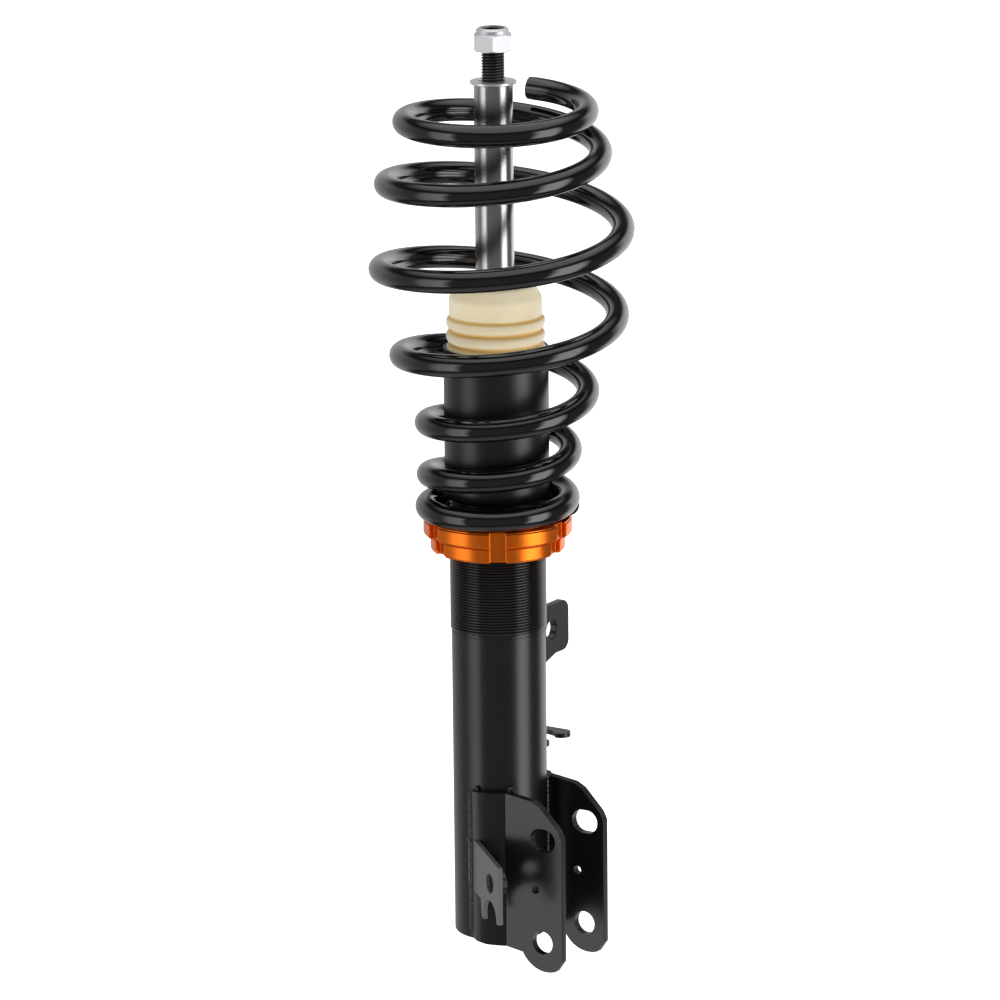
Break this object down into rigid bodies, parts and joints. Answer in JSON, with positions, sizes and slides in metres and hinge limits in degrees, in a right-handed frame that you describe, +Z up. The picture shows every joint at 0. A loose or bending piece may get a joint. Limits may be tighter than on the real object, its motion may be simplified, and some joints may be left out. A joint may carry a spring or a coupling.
{
  "type": "suspension coilover",
  "caption": "MacPherson strut coilover with a threaded body, barrel coil spring on an adjustable seat and lock ring, bump stop, dust cover and welded knuckle, link and hose brackets.",
  "frame": {"origin": "on the strut axis, at the top face of the stud washer, where the top mount seats", "axes": "+Z up along the piston rod, +X towards the wheel knuckle, +Y towards the link rod tab"},
  "size_m": [0.1368, 0.1366, 0.4897],
  "materials": {
    "tube_black": "semi-gloss black powder coat",
    "bracket_black": "semi-gloss black powder coat",
    "spring_black": "gloss black powder coat",
    "hard_chrome": "polished hard chrome",
    "bright_zinc": "bright zinc plate",
    "white_nylon": "moulded nylon",
    "orange_anodised": "turned and orange anodised",
    "cream_elastomer": "microcellular polyurethane",
    "cover_plastic": "satin black plastic",
    "seal_rubber": "moulded rubber",
    "black_oxide": "black oxide",
    "bare_steel": "machined",
    "sintered_iron": "sintered and machined",
    "bronze": "bronze-backed bush",
    "band_plastic": "filled PTFE band"
  },
  "bodies": {
    "strut": {"outer_tube": "tube_black", "base_cap": "tube_black", "clamp_plate_front": "bracket_black", "clamp_plate_rear": "bracket_black", "link_tab": "bracket_black", "hose_hook": "bracket_black", "sensor_bracket": "bracket_black", "weld_nut": "bracket_black", "inner_cylinder": "bare_steel", "base_valve_body": "sintered_iron", "base_valve_disc": "bare_steel", "base_valve_rivet": "bare_steel", "rod_guide": "sintered_iron", "rod_bush": "bronze", "oil_seal": "seal_rubber", "gland_nut": "black_oxide", "wiper_seal": "seal_rubber", "bump_stop": "cream_elastomer", "dust_cover": "cover_plastic"},
    "band": {"piston_band": "band_plastic"},
    "rod": {"piston_rod": "hard_chrome", "top_washer": "bright_zinc", "lock_nut": "bright_zinc", "nut_insert": "white_nylon", "rebound_ring": "bare_steel", "rebound_bumper": "seal_rubber", "piston": "sintered_iron", "compression_shims": "bare_steel", "rebound_shims": "bare_steel", "piston_nut": "bare_steel"},
    "spring": {"coil_spring": "spring_black"},
    "seat": {"spring_seat": "orange_anodised"},
    "lock": {"lock_ring": "orange_anodised"}
  },
  "joints": [
    {"name": "rod_slide", "type": "slide", "parent": "strut", "child": "band", "axis": [0, 0, 1], "range_m": [-0.104, 0], "stiffness_N_per_m": 100, "springref_m": 1, "deforming": ["coil_spring"]},
    {"name": "rod_turn", "type": "hinge", "parent": "band", "child": "rod", "pos_m": [0, 0, 0], "axis": [0, 0, 1], "continuous": true},
    {"name": "seat_height", "type": "slide", "parent": "strut", "child": "spring", "axis": [0, 0, 1], "range_m": [-0.036, 0.003]},
    {"name": "collar_turn", "type": "hinge", "parent": "spring", "child": "seat", "pos_m": [0, 0, -0.2282], "axis": [0, 0, 1], "range_deg": [-8640, 720]},
    {"name": "lock_turn", "type": "hinge", "parent": "seat", "child": "lock", "pos_m": [0, 0, -0.24], "axis": [0, 0, 1], "range_deg": [-60, 0]}
  ],
  "couplings": [
    {"joint": "collar_turn", "follows": "seat_height", "rad_per_m": 4188.8}
  ]
}
